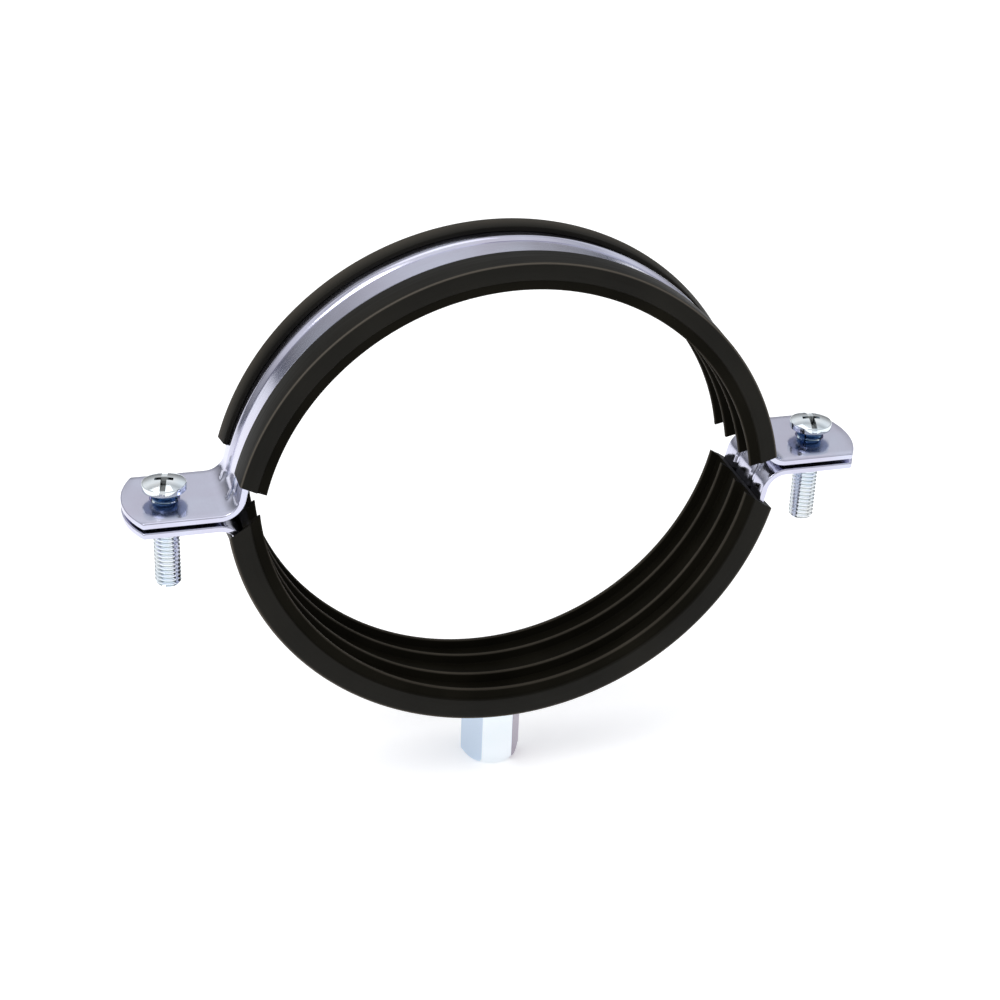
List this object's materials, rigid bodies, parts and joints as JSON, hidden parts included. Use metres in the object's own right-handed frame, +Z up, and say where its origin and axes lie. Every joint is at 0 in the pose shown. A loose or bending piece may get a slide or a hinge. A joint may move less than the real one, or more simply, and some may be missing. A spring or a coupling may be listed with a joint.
{
  "type": "two-screw pipe clamp with rubber lining",
  "caption": "Two-part steel pipe clamp with a ribbed rubber lining, an ear screw on each side and a threaded hexagonal connection nut underneath.",
  "frame": {"origin": "centre of the connection nut's free end face, on the axis of its thread", "axes": "+Z up along the nut's thread towards the pipe, Y along the pipe, X across the clamp through both ear screws"},
  "size_m": [0.1744, 0.0252, 0.1354],
  "materials": {
    "zinc_strip": "bright zinc plate with a faint lilac tint, rolled strip",
    "zinc_nut": "blue zinc plate, turned and pressed",
    "zinc_screw": "bright blue zinc plate",
    "lining_rubber": "extruded black rubber, matt with a dull sheen"
  },
  "bodies": {
    "lower_half": {"lower_band": "zinc_strip", "lower_lining": "lining_rubber", "connection_nut": "zinc_nut"},
    "upper_half": {"upper_band": "zinc_strip", "upper_lining": "lining_rubber"},
    "left_screw": {"left_screw": "zinc_screw"},
    "right_screw": {"right_screw": "zinc_screw"}
  },
  "joints": [
    {"name": "upper_half_lift", "type": "slide", "parent": "lower_half", "child": "upper_half", "axis": [0, 0, 1], "range_m": [0, 0.018]},
    {"name": "left_screw_turn", "type": "hinge", "parent": "upper_half", "child": "left_screw", "pos_m": [-0.0775, 0, 0.0818], "axis": [0, 0, 1], "range_deg": [0, 6481]},
    {"name": "right_screw_turn", "type": "hinge", "parent": "upper_half", "child": "right_screw", "pos_m": [0.0775, 0, 0.0818], "axis": [0, 0, 1], "range_deg": [0, 6481]}
  ],
  "couplings": [
    {"joint": "left_screw_turn", "follows": "upper_half_lift", "rad_per_m": 6283.2},
    {"joint": "right_screw_turn", "follows": "upper_half_lift", "rad_per_m": 6283.2}
  ]
}
